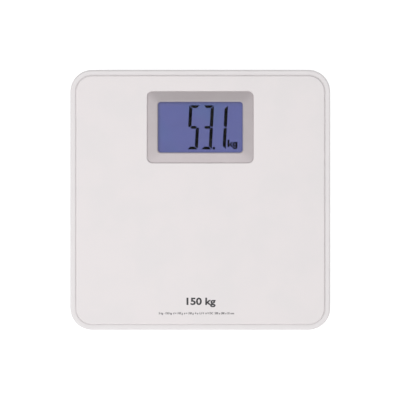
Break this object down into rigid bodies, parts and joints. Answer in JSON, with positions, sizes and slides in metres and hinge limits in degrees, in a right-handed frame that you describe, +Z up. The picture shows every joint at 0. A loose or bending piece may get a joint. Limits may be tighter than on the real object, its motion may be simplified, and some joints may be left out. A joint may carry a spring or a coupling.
{
  "type": "digital bathroom scale",
  "caption": "Square low bathroom scale with a large backlit number display in a silver frame, on load-cell feet.",
  "frame": {"origin": "on the floor, under the centre of the square plate", "axes": "+Z up out of the plate, +Y towards the display's edge, +X to the right for the reader"},
  "size_m": [0.28, 0.28, 0.035],
  "materials": {
    "plate_white": "satin gloss white, moulded",
    "shell_white": "satin gloss white, moulded",
    "cover_white": "fine spark-eroded texture, off-white",
    "door_white": "fine spark-eroded texture, off-white",
    "bezel_silver": "satin metallic silver paint",
    "window_clear": "clear acrylic",
    "tape_black": "adhesive foam tape",
    "polarizer_grey": "polarizing film",
    "lcd_glass": "clear glass",
    "lcd_dark": "dark liquid crystal areas",
    "polarizer_blue": "blue polarizing film",
    "guide_acrylic": "printed acrylic light guide",
    "reflector_white": "white reflector film",
    "led_board": "white solder mask",
    "zebra_rubber": "layered conductive silicone",
    "holder_white": "white ABS",
    "board_green": "green solder mask",
    "component_black": "moulded epoxy",
    "switch_black": "moulded nylon",
    "plunger_white": "moulded nylon",
    "button_grey": "grey ABS",
    "screw_zinc": "zinc plated",
    "cell_steel": "nickel plated stamped steel",
    "gauge_sealant": "white silicone sealant",
    "retainer_black": "black ABS",
    "wire_red": "PVC insulation",
    "lead_black": "PVC insulation",
    "foot_grey": "light grey ABS",
    "foot_rubber": "dark grey anti-slip rubber",
    "thrust_rubber": "silicone rubber",
    "battery_sleeve": "plain printed sleeve, steel ends",
    "contact_nickel": "nickel plated spring steel",
    "foam_grey": "polyurethane foam",
    "label_silver": "blank silver film"
  },
  "bodies": {
    "housing": {"backlight_board": "led_board", "backlight_guide": "guide_acrylic", "backlight_reflector": "reflector_white", "battery_1": "battery_sleeve", "battery_2": "battery_sleeve", "battery_3": "battery_sleeve", "battery_4": "battery_sleeve", "battery_contacts": "contact_nickel", "battery_leads": "lead_black", "battery_springs": "contact_nickel", "board_components": "component_black", "board_screws": "screw_zinc", "bottom_cover": "cover_white", "case_screws": "screw_zinc", "cell_retainer_1": "retainer_black", "cell_retainer_2": "retainer_black", "cell_retainer_3": "retainer_black", "cell_retainer_4": "retainer_black", "cell_wires_1": "wire_red", "cell_wires_2": "wire_red", "cell_wires_3": "wire_red", "cell_wires_4": "wire_red", "display_bezel": "bezel_silver", "display_window": "window_clear", "lcd_front_glass": "lcd_glass", "lcd_front_polarizer": "polarizer_grey", "lcd_holder": "holder_white", "lcd_rear_glass": "lcd_glass", "lcd_rear_polarizer": "polarizer_blue", "lcd_segments": "lcd_dark", "load_cell_1": "cell_steel", "load_cell_2": "cell_steel", "load_cell_3": "cell_steel", "load_cell_4": "cell_steel", "main_board": "board_green", "platform_plate": "plate_white", "rating_plate": "label_silver", "retainer_screws": "screw_zinc", "strain_gauges": "gauge_sealant", "top_shell": "shell_white", "unit_switch": "switch_black", "window_tape": "tape_black", "zebra_strips": "zebra_rubber"},
    "foot_1": {"foot_cup_1": "foot_grey", "foot_pad_1": "foot_rubber", "thrust_pad_1": "thrust_rubber"},
    "foot_2": {"foot_cup_2": "foot_grey", "foot_pad_2": "foot_rubber", "thrust_pad_2": "thrust_rubber"},
    "foot_3": {"foot_cup_3": "foot_grey", "foot_pad_3": "foot_rubber", "thrust_pad_3": "thrust_rubber"},
    "foot_4": {"foot_cup_4": "foot_grey", "foot_pad_4": "foot_rubber", "thrust_pad_4": "thrust_rubber"},
    "battery_door": {"battery_cover": "door_white", "door_foam": "foam_grey"},
    "unit_key": {"unit_button": "button_grey", "switch_plunger": "plunger_white"}
  },
  "joints": [
    {"name": "foot_1_travel", "type": "slide", "parent": "housing", "child": "foot_1", "axis": [0, 0, 1], "range_m": [0, 0.0005], "stiffness_N_per_m": 4000, "springref_m": -0.001, "deforming": ["thrust_pad_1"]},
    {"name": "foot_2_travel", "type": "slide", "parent": "housing", "child": "foot_2", "axis": [0, 0, 1], "range_m": [0, 0.0005], "stiffness_N_per_m": 4000, "springref_m": -0.001, "deforming": ["thrust_pad_2"]},
    {"name": "foot_3_travel", "type": "slide", "parent": "housing", "child": "foot_3", "axis": [0, 0, 1], "range_m": [0, 0.0005], "stiffness_N_per_m": 4000, "springref_m": -0.001, "deforming": ["thrust_pad_3"]},
    {"name": "foot_4_travel", "type": "slide", "parent": "housing", "child": "foot_4", "axis": [0, 0, 1], "range_m": [0, 0.0005], "stiffness_N_per_m": 4000, "springref_m": -0.001, "deforming": ["thrust_pad_4"]},
    {"name": "battery_door_hinge", "type": "hinge", "parent": "housing", "child": "battery_door", "pos_m": [0, 0.0199, 0.0086], "axis": [1, 0, 0], "range_deg": [0, 95]},
    {"name": "unit_key_press", "type": "slide", "parent": "housing", "child": "unit_key", "axis": [0, 0, 1], "range_m": [0, 0.0005], "stiffness_N_per_m": 2000}
  ]
}
